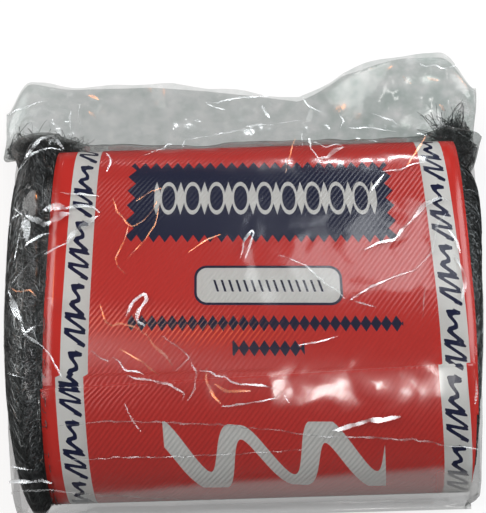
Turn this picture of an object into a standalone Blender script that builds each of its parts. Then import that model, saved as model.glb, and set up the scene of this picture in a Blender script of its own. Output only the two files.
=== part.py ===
"""A flattened bundle of steel wool, held by a printed paper band and packed in a clear film bag.

Metres, +Z up. X runs along the bundle, Y points to the bag's open mouth, and the flat
underside of the bag lies at Z = 0. The sections below are drawn in Y and Z, with Y counted
from the bundle's apex, and the finished pieces are moved so that the origin is at the
middle of the bag's outline.
"""

import math

import bmesh
import bpy

MM = 0.001

# Bundle, measured at the outer face of the paper band
BUNDLE_LENGTH = 151.5 * MM
BUNDLE_HEIGHT = 45 * MM
FRONT_REACH = 58 * MM
BACK_REACH = 56 * MM
FRONT_LIFT = 12 * MM
BACK_LIFT = 22 * MM
FRONT_TOP_SQUARENESS = 1.75
BACK_TOP_SQUARENESS = 4.0
BOTTOM_SQUARENESS = 3.5

# Wool outside the band, and its rounded ends
WOOL_BULGE_UP = 3.0 * MM
WOOL_BULGE_OUT = 4.5 * MM
BULGE_RUN = 5 * MM
END_ROUNDING = 10 * MM
END_FACE_SHARE = 0.45
TURN_DEPTH = 1.6 * MM
TURNS_AT_END = 3

# The two ends run outwards towards the back, by these shares of the way from the upright place
LEFT_END_LEAN = 0.012
RIGHT_END_LEAN = 0.077
UPRIGHT_PLACE = 5 * MM

# Paper band, which leaves this much of the wool bare at the bundle's two ends
BARE_LEFT = 14.5 * MM
BARE_RIGHT = 5.0 * MM
PAPER_THICKNESS = 0.2 * MM
LAP_LENGTH = 14 * MM
LAP_GAP = 0.1 * MM
LAP_SKEW = 1.5 * MM
SEAM_FORWARD = 25 * MM

# Clear film bag: slack is the room between the film and what it wraps
FILM_THICKNESS = 0.2 * MM
FILM_SLACK = 1.0 * MM
FILM_SIDE_SLACK = 1.0 * MM
CLEARANCE = 0.3 * MM
FILM_OVER_PAPER = 0.7 * MM
FILM_BEFORE_PAPER = 1.8 * MM
CLOSING_RUN = 13 * MM
SEAL_LENGTH = 3.0 * MM
SEAL_HEIGHT = 0.9 * MM
SEAL_SPREAD = 2.0 * MM

# The bag's open tail behind the bundle
TAIL_LENGTH = 37 * MM
TAIL_SPREAD = 10.5 * MM
SPREAD_RUN = 12 * MM
DROP_LENGTH = 23 * MM
DROP_KNEE_SHARE = 0.3
FLAT_EDGE_RUN = 40 * MM
FLAT_WALL_SHARE = 0.3
MOUTH_GAP = 1.3 * MM
MOUTH_DIP = 8 * MM
MOUTH_DIP_PLACE = 23 * MM
MOUTH_DIP_WIDTH = 13 * MM
CORNER_CUT = 14 * MM
CORNER_CUT_WIDTH = 14 * MM
CORNER_CUT_WIDTH_LEFT = 10 * MM
LOBE_RISE = 16 * MM
LOBE_WIDTH = 65 * MM
LOBE_RUN = 34 * MM
LEFT_CURL = 7 * MM
LEFT_CURL_WIDTH = 25 * MM
PLEAT_HEIGHT = 2.0 * MM
PLEAT_PITCH = 24 * MM
ROLLED_FOLD_HEIGHT = 2.2 * MM
ROLLED_FOLD_WIDTH = 5 * MM
ROLLED_FOLD_LENGTH = 74 * MM
ROLLED_FOLD_PLACE = 12 * MM

# Fineness of the meshes
SECTION_POINTS = 56
FINE_POINTS = 8
STRIP_POINTS = 4
BULGE_STEPS = (0, 0.35, 0.7, 1)
ROUNDING_DEGREES = (20, 45, 70, 90)
LEAST_STEP = 0.4 * MM
BAG_POINTS = 30
WALL_POINTS = 2
CORNER_POINTS = 4
TOP_POINTS = 24
LOW_CORNER_POINTS = 3
FLOOR_POINTS = 16

WOOL_COLOUR = (0.05, 0.053, 0.057, 1.0)
PAPER_COLOUR = (0.62, 0.045, 0.035, 1.0)
FILM_COLOUR = (0.86, 0.87, 0.86, 1.0)

UNDERSIDE_OF_WOOL = FILM_THICKNESS + CLEARANCE
PAPER_ROOM = PAPER_THICKNESS + CLEARANCE
BAND_RIGHT = BUNDLE_LENGTH / 2 - BARE_RIGHT
BAND_LEFT = -BUNDLE_LENGTH / 2 + BARE_LEFT - LAP_SKEW
BAND_WIDTH = BUNDLE_LENGTH - BARE_LEFT - BARE_RIGHT
FILM_BACK = BACK_REACH + WOOL_BULGE_OUT + FILM_SLACK
FILM_FRONT = FRONT_REACH + WOOL_BULGE_OUT + FILM_SLACK
FRONT_EDGE = FILM_FRONT + SEAL_LENGTH
TAIL_REACH = FILM_BACK + TAIL_LENGTH
HALF_TAIL = BUNDLE_LENGTH / 2 + TAIL_SPREAD
APEX_Y = (FRONT_EDGE - TAIL_REACH) / 2

# The bag's side walls stand up to where the wool's rounded ends start to curve in
WOOL_END_TOP = BUNDLE_HEIGHT / 2 + (BUNDLE_HEIGHT / 2 + WOOL_BULGE_UP) * END_FACE_SHARE
FILM_TOP = BUNDLE_HEIGHT + WOOL_BULGE_UP + FILM_SLACK
WALL_SHARE = (WOOL_END_TOP + FILM_SLACK - FRONT_LIFT) / (FILM_TOP - FRONT_LIFT)
FLOOR_ROUNDING = min(BARE_LEFT, BARE_RIGHT)


def ease(value):
    """0 below 0, 1 above 1, and a smooth rise between."""
    value = min(1.0, max(0.0, value))
    return value * value * (3 - 2 * value)


def mix(start, end, share):
    return start + (end - start) * share


def power(value, exponent):
    """A power that keeps the sign, which turns a circle's sine and cosine into a squarer round."""
    return math.copysign(abs(value) ** exponent, value)


def section_point(angle, out=0.0, up=0.0, base=UNDERSIDE_OF_WOOL):
    """A point of the bundle's section, from angle 0 at the back over the apex to half a turn at the front."""
    across, rise = math.cos(angle), math.sin(angle)
    reach, lift = (BACK_REACH, BACK_LIFT) if across >= 0 else (FRONT_REACH, FRONT_LIFT)
    top_squareness = BACK_TOP_SQUARENESS if across >= 0 else FRONT_TOP_SQUARENESS
    squareness = top_squareness if rise >= 0 else BOTTOM_SQUARENESS
    height = BUNDLE_HEIGHT + up - lift if rise >= 0 else lift - base
    return (reach + out) * power(across, 2 / squareness), lift + height * power(rise, 2 / squareness)


def spaced_evenly(points, count, closed):
    """The same line again, with count points at equal distances along it."""
    line = points + points[:1] if closed else points
    travelled = [0.0]
    for before, after in zip(line, line[1:]):
        travelled.append(travelled[-1] + math.dist(before, after))
    steps = count if closed else count - 1
    result, at = [], 0
    for number in range(count):
        wanted = travelled[-1] * number / steps
        while at < len(line) - 2 and travelled[at + 1] < wanted:
            at += 1
        length = travelled[at + 1] - travelled[at]
        share = (wanted - travelled[at]) / length if length else 0.0
        result.append(tuple(mix(a, b, share) for a, b in zip(line[at], line[at + 1])))
    return result


def seam_angle():
    """The angle of the section at which the band's outer end lies."""
    return math.pi - math.acos((SEAM_FORWARD / FRONT_REACH) ** (FRONT_TOP_SQUARENESS / 2))


def section(out=0.0, up=0.0, base=UNDERSIDE_OF_WOOL):
    """The closed section, from the seam over the apex, down the back, along the floor and up the front."""
    fine = FINE_POINTS * SECTION_POINTS
    start = seam_angle()
    line = [section_point(start - 2 * math.pi * number / fine, out, up, base) for number in range(fine)]
    return spaced_evenly(line, SECTION_POINTS, closed=True)


def new_object(name, bm, collection, material):
    """An object whose mesh is moved from the apex's frame to the part's own."""
    bmesh.ops.translate(bm, verts=bm.verts, vec=(0, APEX_Y, 0))
    mesh = bpy.data.meshes.new(name)
    bm.to_mesh(mesh)
    bm.free()
    mesh.shade_smooth()
    mesh.set_sharp_from_angle(angle=math.radians(50))
    mesh.materials.append(material)
    item = bpy.data.objects.new(name, mesh)
    collection.objects.link(item)
    return item


def new_material(name, colour, metallic, roughness, alpha=1.0):
    material = bpy.data.materials.new(name)
    material.use_nodes = True
    shader = material.node_tree.nodes["Principled BSDF"]
    shader.inputs["Base Color"].default_value = colour
    shader.inputs["Metallic"].default_value = metallic
    shader.inputs["Roughness"].default_value = roughness
    shader.inputs["Alpha"].default_value = alpha
    material.diffuse_color = (*colour[:3], alpha)
    return material


def bridge(bm, first, second):
    """Quads between two closed rings of vertices of the same count."""
    count = len(first)
    for number in range(count):
        after = (number + 1) % count
        bm.faces.new((first[number], first[after], second[after], second[number]))


def wool_growth(x):
    """How far the wool stands out beside the band: 0 under it and 1 clear of its edges."""
    past_edge = max(BAND_LEFT - x, x - BAND_RIGHT)
    return ease((past_edge - CLEARANCE) / BULGE_RUN)


def wool_ring(x):
    """The wool's section at x: pinched under the band, bulging beside it."""
    growth = wool_growth(x)
    out = mix(-PAPER_ROOM, WOOL_BULGE_OUT, growth)
    up = mix(-PAPER_ROOM, WOOL_BULGE_UP, growth)
    base = UNDERSIDE_OF_WOOL + mix(PAPER_ROOM, 0, growth)
    return section(out, up, base)


def shrunk(ring, share):
    """A ring drawn in towards the middle of the section's height."""
    middle_z = BUNDLE_HEIGHT / 2
    return [(y * share, middle_z + (z - middle_z) * share) for y, z in ring]


def wool_stations():
    """Places along X for the wool's rings, close together where the band's edges and the ends are."""
    half = BUNDLE_LENGTH / 2
    places = [mix(BAND_LEFT, BAND_RIGHT, share) for share in (0, 1 / 3, 2 / 3, 1)]
    for share in BULGE_STEPS:
        places.append(BAND_LEFT - CLEARANCE - BULGE_RUN * share)
        places.append(BAND_RIGHT + CLEARANCE + BULGE_RUN * share)
    for turn in ROUNDING_DEGREES:
        place = half - END_ROUNDING * (1 - math.sin(math.radians(turn)))
        places += [-place, place]
    ordered = [-half]
    for place in sorted(places):
        if place - ordered[-1] > LEAST_STEP and place < half - LEAST_STEP:
            ordered.append(place)
    return ordered + [half]


def leaning(x, y):
    """X moved outwards or inwards where it lies beyond the band, in full at the bundle's ends."""
    edge, lean = (BAND_RIGHT, RIGHT_END_LEAN) if x > 0 else (BAND_LEFT, -LEFT_END_LEAN)
    beyond = (abs(x) - abs(edge) - CLEARANCE) / (BUNDLE_LENGTH / 2 - abs(edge) - CLEARANCE)
    return x + lean * (y - UPRIGHT_PLACE) * min(1.0, max(0.0, beyond))


def end_share(x):
    """The size of the wool's section at x, which shrinks on a quarter round at each end."""
    into_end = (abs(x) - (BUNDLE_LENGTH / 2 - END_ROUNDING)) / END_ROUNDING
    if into_end <= 0:
        return 1.0
    return END_FACE_SHARE + (1 - END_FACE_SHARE) * math.sqrt(max(0.0, 1 - into_end * into_end))


def steel_wool(collection):
    """One soft body: a roll pressed flat, whose turns show as grooves on its end faces."""
    bm = bmesh.new()
    rings = []
    for x in wool_stations():
        ring = shrunk(wool_ring(x), end_share(x))
        rings.append([bm.verts.new((leaning(x, y), y, z)) for y, z in ring])
    for first, second in zip(rings, rings[1:]):
        bridge(bm, first, second)
    for side, outer in ((-1, rings[0]), (1, rings[-1])):
        close_end(bm, side, outer)
    bmesh.ops.recalc_face_normals(bm, faces=bm.faces)
    material = new_material("dark_steel_wool", WOOL_COLOUR, metallic=0.85, roughness=0.6)
    return new_object("steel_wool", bm, collection, material)


def close_end(bm, side, outer):
    """The end face: ridges and grooves that follow the roll's turns, down to a flat core."""
    half = BUNDLE_LENGTH / 2
    edge = wool_ring(half)
    steps = 2 * TURNS_AT_END
    last = outer
    for step in range(1, steps + 1):
        share = END_FACE_SHARE * (1 - step / (steps + 1))
        depth = TURN_DEPTH if step % 2 else 0.0
        places = [(leaning(side * half, y) - side * depth, y, z) for y, z in shrunk(edge, share)]
        ring = [bm.verts.new(place) for place in places]
        bridge(bm, last, ring)
        last = ring
    bm.faces.new(last)


def band_loop(over):
    """The band's outer face in Y and Z, lifted by over where the paper lies on paper."""
    return section(out=over, up=over, base=UNDERSIDE_OF_WOOL - over)


def paper_band(collection):
    """One strip of paper round the bundle, glued to itself where its outer end laps over the inner one."""
    flat_loop, lapped_loop = band_loop(0.0), band_loop(PAPER_THICKNESS + LAP_GAP)
    lap_steps = max(1, round(LAP_LENGTH / math.dist(flat_loop[0], flat_loop[1])))
    last = SECTION_POINTS
    bm = bmesh.new()
    rows = []
    for number in range(-lap_steps, last + 1):
        loop = lapped_loop if number >= last - lap_steps else flat_loop
        y, z = loop[number % last]
        left = BAND_LEFT + LAP_SKEW * (1 - ease((number + lap_steps) / (last + lap_steps)))
        places = [left + BAND_WIDTH * strip / STRIP_POINTS for strip in range(STRIP_POINTS + 1)]
        rows.append([bm.verts.new((x, y, z)) for x in places])
    for first, second in zip(rows, rows[1:]):
        for strip in range(STRIP_POINTS):
            bm.faces.new((first[strip], first[strip + 1], second[strip + 1], second[strip]))
    material = new_material("red_band_paper", PAPER_COLOUR, metallic=0.0, roughness=0.35)
    band = new_object("paper_band", bm, collection, material)
    shell = band.modifiers.new("paper_thickness", "SOLIDIFY")
    shell.thickness = PAPER_THICKNESS
    shell.offset = -1
    shell.use_even_offset = True
    return band


def bent(start, control, end, share):
    """A point of the curve that leaves start towards control and arrives at end from it."""
    first = [mix(a, b, share) for a, b in zip(start, control)]
    second = [mix(a, b, share) for a, b in zip(control, end)]
    return tuple(mix(a, b, share) for a, b in zip(first, second))


def bag_top_profile(out, up):
    """The film's upper line from the welded front edge to the mouth, as (y, z), out and up off the bundle."""
    fine = FINE_POINTS * BAG_POINTS
    foot = (-FILM_FRONT - SEAL_LENGTH / 3, SEAL_HEIGHT)
    widest = (-FRONT_REACH - out, FRONT_LIFT)
    weld = [(-FRONT_EDGE, SEAL_HEIGHT), foot]
    rise = [bent(foot, (widest[0], SEAL_HEIGHT), widest, share) for share in (0.25, 0.5, 0.75)]
    over = []
    for number in range(fine):
        angle = math.pi * (1 - number / fine)
        over.append(section_point(angle, out, up))
    leave = over[-1]
    knee = (leave[0], leave[1] * DROP_KNEE_SHARE)
    toe = (FILM_BACK + DROP_LENGTH, MOUTH_GAP)
    drop = [bent(leave, knee, toe, number / fine) for number in range(1, fine + 1)]
    return spaced_evenly(weld + rise + over + drop + [(TAIL_REACH, MOUTH_GAP)], BAG_POINTS, closed=False)


def mouth_edge(x):
    """How much of the tail's length is missing at x: the dip in the mouth and its rounded corners."""
    dip = MOUTH_DIP * math.exp(-(((x - MOUTH_DIP_PLACE) / MOUTH_DIP_WIDTH) ** 2))
    width = CORNER_CUT_WIDTH if x > 0 else CORNER_CUT_WIDTH_LEFT
    corner = CORNER_CUT * ease((abs(x) - HALF_TAIL) / width + 1) ** 2
    return dip + corner


def quarter_round(half_width, rounding, wall):
    """The outline's rounded corner, from the top of the side wall to where the flat layer starts."""
    points = []
    for number in range(FINE_POINTS + 1):
        turn = math.pi / 2 * number / FINE_POINTS
        points.append((half_width - rounding * (1 - math.cos(turn)), wall + (1 - wall) * math.sin(turn)))
    return points


def ring_outline(half_width, flatness):
    """The bag's outline across X in stretches, each as (x, height) points and the vertices it gets.

    Height is 0 at the side folds, 1 on the upper layer and -1 on the layer that lies on the floor.
    """
    wall = mix(WALL_SHARE, FLAT_WALL_SHARE, flatness)
    upper = quarter_round(half_width, mix(END_ROUNDING, FLAT_EDGE_RUN, flatness), wall)
    lower = quarter_round(half_width, mix(FLOOR_ROUNDING, FLAT_EDGE_RUN, flatness), 0.0)
    shares = [number / TOP_POINTS for number in range(TOP_POINTS + 1)]
    top = [(upper[-1][0] * (1 - 2 * share), 1.0) for share in shares]
    floor = [(lower[-1][0] * (2 * share - 1), -1.0) for share in shares]
    return (
        ([(half_width, 0.0), (half_width, wall)], WALL_POINTS),
        (upper, CORNER_POINTS),
        (top, TOP_POINTS),
        ([(-x, height) for x, height in reversed(upper)], CORNER_POINTS),
        ([(-half_width, wall), (-half_width, 0.0)], WALL_POINTS),
        ([(-x, -height) for x, height in lower], LOW_CORNER_POINTS),
        (floor, FLOOR_POINTS),
        ([(x, -height) for x, height in reversed(lower)], LOW_CORNER_POINTS),
    )


def tail_share(y):
    """0 round the bundle, rising to 1 at the bag's mouth."""
    return ease((y - FILM_BACK + BULGE_RUN) / (TAIL_LENGTH + BULGE_RUN))


def spread_share(y):
    """0 where the bag has the bundle's width, rising quickly to 1 where it has its own."""
    return ease((y - FILM_BACK + BULGE_RUN) / SPREAD_RUN)


def bag_ring(station, loose, close):
    """One closed ring of the bag, from its right edge over the top to its left edge and back below.

    Loose and close are the film's upper line beside the band and over its middle, as (y, z).
    """
    top_y, top_z = loose
    low_y = mix(-FRONT_EDGE, TAIL_REACH, station / (BAG_POINTS - 1))
    tail = tail_share(top_y)
    welded = 1 - ease((top_z - SEAL_HEIGHT) / (FRONT_LIFT - SEAL_HEIGHT)) if top_y < 0 else 0.0
    over_bundle = BUNDLE_LENGTH / 2 + FILM_SIDE_SLACK
    half_width = mix(over_bundle, HALF_TAIL, spread_share(top_y)) + (SEAL_SPREAD - FILM_SIDE_SLACK) * welded
    ring = []
    for outline, count in ring_outline(half_width, max(welded, ease(2 * tail))):
        line = [bag_point(x, height, loose, close, low_y) for x, height in outline]
        ring += spaced_evenly(line, count + 1, closed=False)[:-1]
    return ring


def bag_point(x, height, loose, close, low_y):
    """The point of the film at x and at one of the outline's heights."""
    closing = ease((min(x - BAND_LEFT, BAND_RIGHT - x) - FILM_SLACK) / CLOSING_RUN)
    top_y, top_z = (mix(a, b, closing) for a, b in zip(loose, close))
    y = mix((loose[0] + low_y) / 2, top_y if height >= 0 else low_y, abs(height))
    tail = tail_share(y)
    middle_z = min(FRONT_LIFT, loose[1] / 2)
    surface = 0.0
    if height >= 0:
        past_edge = max(BAND_LEFT - x, x - BAND_RIGHT)
        swell = WOOL_BULGE_UP * ease(1 + past_edge / BULGE_RUN) * (1 - tail) * ease(top_z / FRONT_LIFT - 1)
        pleat = PLEAT_HEIGHT * (0.5 + 0.5 * math.cos(2 * math.pi * x / PLEAT_PITCH)) * tail
        surface = top_z + swell + pleat + rolled_fold(x, y)
    lobe = LOBE_RISE * ease((x - HALF_TAIL + LOBE_WIDTH) / LOBE_RUN) * tail * tail
    curl = LEFT_CURL * ease((LEFT_CURL_WIDTH - HALF_TAIL - x) / LEFT_CURL_WIDTH) * tail
    place = mix(leaning(x, y), x, spread_share(y))
    return place, y - mouth_edge(x) * tail, mix(middle_z, surface, abs(height)) + lobe + curl


def rolled_fold(x, y):
    """The soft roll of spare film that lies along the back edge of the bundle."""
    along = 1 - ease((abs(x - ROLLED_FOLD_PLACE) - ROLLED_FOLD_LENGTH / 2) / ROLLED_FOLD_WIDTH + 1)
    across = (y - (BACK_REACH - ROLLED_FOLD_WIDTH)) / ROLLED_FOLD_WIDTH
    return ROLLED_FOLD_HEIGHT * along * math.exp(-across * across)


def clear_bag(collection):
    """One film tube round the bundle, welded flat at the front and open at the back."""
    bm = bmesh.new()
    rings = []
    beside_band = bag_top_profile(WOOL_BULGE_OUT + FILM_SLACK, FILM_SLACK)
    over_band = bag_top_profile(FILM_BEFORE_PAPER, FILM_OVER_PAPER)
    for station, (loose, close) in enumerate(zip(beside_band, over_band)):
        rings.append([bm.verts.new(point) for point in bag_ring(station, loose, close)])
    for first, second in zip(rings, rings[1:]):
        bridge(bm, second, first)
    bm.faces.new(rings[0])
    material = new_material("clear_film", FILM_COLOUR, metallic=0.0, roughness=0.12, alpha=0.25)
    bag = new_object("clear_bag", bm, collection, material)
    shell = bag.modifiers.new("film_thickness", "SOLIDIFY")
    shell.thickness = FILM_THICKNESS
    shell.offset = -1
    return bag


def main():
    for item in list(bpy.data.objects):
        bpy.data.objects.remove(item)
    collection = bpy.data.collections.new("steel_wool_bundle")
    bpy.context.scene.collection.children.link(collection)
    steel_wool(collection)
    paper_band(collection)
    clear_bag(collection)


main()
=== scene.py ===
"""The looks of the steel wool bundle: a printed paper band round curly steel wool, in a crumpled clear bag.

Lengths are in millimetres until a mesh is made. Y is counted from the bundle's apex, as in the part's
source, and new_mesh moves the finished points into the frame.
"""

import functools
import math

import bpy
import numpy as np
from mathutils import Matrix, Vector, geometry
from mathutils.bvhtree import BVHTree


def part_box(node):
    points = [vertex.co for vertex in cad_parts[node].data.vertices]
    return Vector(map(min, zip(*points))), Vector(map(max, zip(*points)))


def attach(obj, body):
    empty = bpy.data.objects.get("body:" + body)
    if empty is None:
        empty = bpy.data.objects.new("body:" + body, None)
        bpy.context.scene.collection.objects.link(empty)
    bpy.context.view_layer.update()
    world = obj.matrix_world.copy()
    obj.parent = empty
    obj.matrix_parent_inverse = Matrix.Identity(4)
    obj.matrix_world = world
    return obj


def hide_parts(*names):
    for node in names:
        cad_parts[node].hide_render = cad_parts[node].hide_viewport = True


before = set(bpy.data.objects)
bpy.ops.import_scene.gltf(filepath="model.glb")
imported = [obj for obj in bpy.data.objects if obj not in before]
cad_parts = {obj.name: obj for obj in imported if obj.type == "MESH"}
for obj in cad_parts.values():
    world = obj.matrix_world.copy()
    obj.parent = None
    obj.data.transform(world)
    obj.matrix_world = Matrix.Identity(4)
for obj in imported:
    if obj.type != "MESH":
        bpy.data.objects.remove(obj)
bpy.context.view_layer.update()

MM = 0.001
APEX_Y = -16.0
ABOVE_ALL = 200.0
UP, DOWN = Vector((0, 0, 1)), Vector((0, 0, -1))

# The bundle's section, as the part's source has it
BUNDLE_LENGTH, BUNDLE_HEIGHT = 151.5, 45.0
FRONT_REACH, BACK_REACH = 58.0, 56.0
FRONT_LIFT, BACK_LIFT = 12.0, 22.0
FRONT_TOP_SQUARENESS, BACK_TOP_SQUARENESS, BOTTOM_SQUARENESS = 1.75, 4.0, 3.5
WOOL_BULGE_UP, WOOL_BULGE_OUT, BULGE_START, BULGE_RUN = 3.0, 4.5, 0.3, 5.0
END_ROUNDING, END_FACE_SHARE = 10.0, 0.45
LEFT_END_LEAN, RIGHT_END_LEAN, UPRIGHT_PLACE = 0.012, 0.077, 5.0
RIGHT_BACK_FLARE = 0.045
UNDERSIDE = 0.5
PAPER_ROOM = 0.5
CAD_BAND_LEFT, CAD_BAND_RIGHT = -62.75, 70.75


def ease(value):
    value = np.clip(value, 0.0, 1.0)
    return value * value * (3 - 2 * value)


def ramp(value, span):
    """0 up to where the span starts, rising to 1 along the span's length."""
    start, length = span
    return ease((value - start) / length)


def power(value, exponent):
    return np.sign(value) * np.abs(value) ** exponent


def section(angle, out=0.0, up=0.0, base=UNDERSIDE):
    """Y and Z of the bundle's section, from angle 0 at the back over the apex to half a turn at the front."""
    across, rise = np.cos(angle), np.sin(angle)
    back = across >= 0
    reach = np.where(back, BACK_REACH, FRONT_REACH)
    lift = np.where(back, BACK_LIFT, FRONT_LIFT)
    top = np.where(back, BACK_TOP_SQUARENESS, FRONT_TOP_SQUARENESS)
    squareness = np.where(rise >= 0, top, BOTTOM_SQUARENESS)
    height = np.where(rise >= 0, BUNDLE_HEIGHT + up - lift, lift - base)
    return (reach + out) * power(across, 2 / squareness), lift + height * power(rise, 2 / squareness)


def leaning(x, y):
    """X moved outwards or inwards where it lies beyond the band, in full at the bundle's ends."""
    edge = np.where(x > 0, CAD_BAND_RIGHT, -CAD_BAND_LEFT)
    lean = np.where(x > 0, RIGHT_END_LEAN, -LEFT_END_LEAN)
    start = edge + BULGE_START
    beyond = np.clip((np.abs(x) - start) / (BUNDLE_LENGTH / 2 - start), 0, 1)
    flare = np.where(x > 0, RIGHT_BACK_FLARE, 0.0) * np.maximum(y - UPRIGHT_PLACE, 0)
    return x + (lean * (y - UPRIGHT_PLACE) + flare) * beyond


def unit(vectors):
    return vectors / (np.linalg.norm(vectors, axis=-1, keepdims=True) + 1e-9)


def past_band(x):
    """How far x lies beyond the band's nearer edge: less than nothing on the paper."""
    return np.maximum(CAD_BAND_LEFT - x, x - CAD_BAND_RIGHT)


def along(points):
    """The distance travelled at each point of a line."""
    steps = np.linalg.norm(np.diff(points, axis=0), axis=1)
    return np.concatenate([[0.0], np.cumsum(steps)])


def at_places(line, places, wanted):
    """The flat line's points at the wanted places, where its own points lie at the given ones."""
    return np.stack([np.interp(wanted, places, line[:, k]) for k in (0, 1)], -1)


def new_mesh(name, points, faces, materials, smooth=True, uv=None):
    """An object from points in millimetres, y from the apex, and faces that all have as many corners."""
    points = np.array(points, float).reshape(-1, 3)
    points[:, 1] += APEX_Y
    faces = np.asarray(faces, np.int32)
    mesh = bpy.data.meshes.new(name)
    mesh.vertices.add(len(points))
    mesh.vertices.foreach_set("co", (points * MM).ravel())
    mesh.loops.add(faces.size)
    mesh.loops.foreach_set("vertex_index", faces.ravel())
    mesh.polygons.add(len(faces))
    mesh.polygons.foreach_set("loop_start", np.arange(len(faces), dtype=np.int32) * faces.shape[1])
    mesh.update(calc_edges=True)
    mesh.validate()
    mesh.polygons.foreach_set("use_smooth", np.full(len(mesh.polygons), smooth))
    if uv is not None:
        layer = mesh.uv_layers.new(name="print")
        layer.data.foreach_set("uv", np.asarray(uv, float).reshape(-1, 2)[faces.ravel()].ravel())
    for material in materials:
        mesh.materials.append(material)
    item = bpy.data.objects.new(name, mesh)
    bpy.context.scene.collection.objects.link(item)
    return item


def add_values(item, name, values):
    """One number for each vertex, or the same one for all, which a material reads by name."""
    layer = item.data.attributes.new(name, "FLOAT", "POINT")
    values = np.asarray(values, np.float32).ravel()
    layer.data.foreach_set("value", np.broadcast_to(values, len(layer.data)).copy())


def grid_faces(rows, columns, closed=False):
    """Quads of a grid whose points are numbered row by row. A closed grid joins its last column to its first."""
    row, column = np.meshgrid(np.arange(rows - 1), np.arange(columns - (not closed)), indexing="ij")
    near, far = row * columns, (row + 1) * columns
    after = (column + 1) % columns
    return np.stack([near + column, near + after, far + after, far + column], -1).reshape(-1, 4)


def facets(rng, width, length, spacing, at):
    """Heights of a sheet that was crumpled and opened again, at each place given.

    The sheet is made of flat triangles between points that are scattered about spacing apart.
    """
    across, down = int(width / spacing) + 3, int(length / spacing) + 3
    x, y = np.meshgrid(np.arange(across), np.arange(down), indexing="ij")
    spots = np.stack([x, y], -1).reshape(-1, 2) + rng.uniform(-0.45, 0.45, (across * down, 2)) - 1
    spots *= spacing
    heights = rng.uniform(-1, 1, len(spots))
    flat, _, triangles, origins, _, _ = geometry.delaunay_2d_cdt([Vector(p) for p in spots], [], [], 0, 0.001)
    corners = [(p.x, p.y, heights[o[0]]) for p, o in zip(flat, origins)]
    tree = BVHTree.FromPolygons(corners, [tuple(t) for t in triangles])
    above = 9
    hits = [tree.ray_cast(Vector((a, b, above)), DOWN)[0] for a, b in at]
    return np.array([hit.z if hit else 0.0 for hit in hits])


def softened(values):
    """A grid's values, each averaged with its neighbours."""
    wide = np.pad(values, 1, mode="edge")
    return (wide[:-2, 1:-1] + wide[2:, 1:-1] + wide[1:-1, :-2] + wide[1:-1, 2:] + 4 * values) / 8


# Materials


class Maths:
    """Chains of nodes in one material, or in the world, written as calls."""

    def __init__(self, name, kind="Material"):
        makers = {"Material": bpy.data.materials, "World": bpy.data.worlds}
        self.made = makers[kind].new(name)
        self.made.use_nodes = True
        self.tree = self.made.node_tree
        self.tree.nodes.clear()
        self.output = self.node("ShaderNodeOutput" + kind)

    def node(self, kind, **inputs):
        made = self.tree.nodes.new(kind)
        for name, value in inputs.items():
            self.put(made.inputs[name.replace("_", " ")], value)
        return made

    def put(self, socket, value):
        if isinstance(value, bpy.types.NodeSocket):
            self.tree.links.new(value, socket)
        else:
            socket.default_value = value

    def __call__(self, operation, *values):
        made = self.tree.nodes.new("ShaderNodeMath")
        made.operation = operation
        for socket, value in zip(made.inputs, values):
            self.put(socket, value)
        return made.outputs[0]

    def blend(self, share, first, second):
        made = self.tree.nodes.new("ShaderNodeMix")
        made.data_type = "RGBA"
        for number, value in ((0, share), (6, first), (7, second)):
            self.put(made.inputs[number], value)
        return made.outputs[2]

    def noise(self, scale, detail):
        place = self.node("ShaderNodeTexCoord").outputs["Object"]
        return self.node("ShaderNodeTexNoise", Scale=scale, Detail=detail, Vector=place).outputs["Fac"]

    def within(self, value, centre, half):
        """1 where value lies within half of centre."""
        return self("LESS_THAN", self("ABSOLUTE", self("SUBTRACT", value, centre)), half)

    def drawn_line(self, apart, stroke, steepness):
        """1 where a place apart from a line, measured level or upright, lies within its stroke."""
        reach = self("SQRT", self("MULTIPLY_ADD", steepness, steepness, 1.0))
        return self("LESS_THAN", apart, self("MULTIPLY", stroke, reach))

    def every(self, *masks):
        return functools.reduce(lambda one, other: self("MULTIPLY", one, other), masks)

    def any(self, *masks):
        return functools.reduce(lambda one, other: self("MAXIMUM", one, other), masks)

    def attribute(self, name):
        made = self.tree.nodes.new("ShaderNodeAttribute")
        made.attribute_name = name
        return made.outputs["Fac"]

    def mix_shaders(self, share, first, second):
        made = self.tree.nodes.new("ShaderNodeMixShader")
        for socket, value in zip(made.inputs, (share, first, second)):
            self.put(socket, value)
        return made.outputs[0]

    def finish(self, shader):
        self.tree.links.new(shader, self.output.inputs["Surface"])
        return self.made


RED, CREAM, NAVY = (0.78, 0.038, 0.028, 1), (0.86, 0.88, 0.86, 1), (0.004, 0.008, 0.055, 1)
PAPER_WHITE = (0.80, 0.77, 0.72, 1)

# The print's shapes: p is measured across from the band's middle, and s up from the apex. What ends in ACROSS
# or UP is a middle and a half size
STRIPE_PLACE, STRIPE_HALF = 57.5, 4.2
SCROLL_GROUP, SCROLL_SWINGS, SCROLL_SHARE = 21.0, 4.5, 0.455
SCROLL_SLANT, SCROLL_OFFSET, SCROLL_HALF = 0.45, 4.0, 3.3
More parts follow.
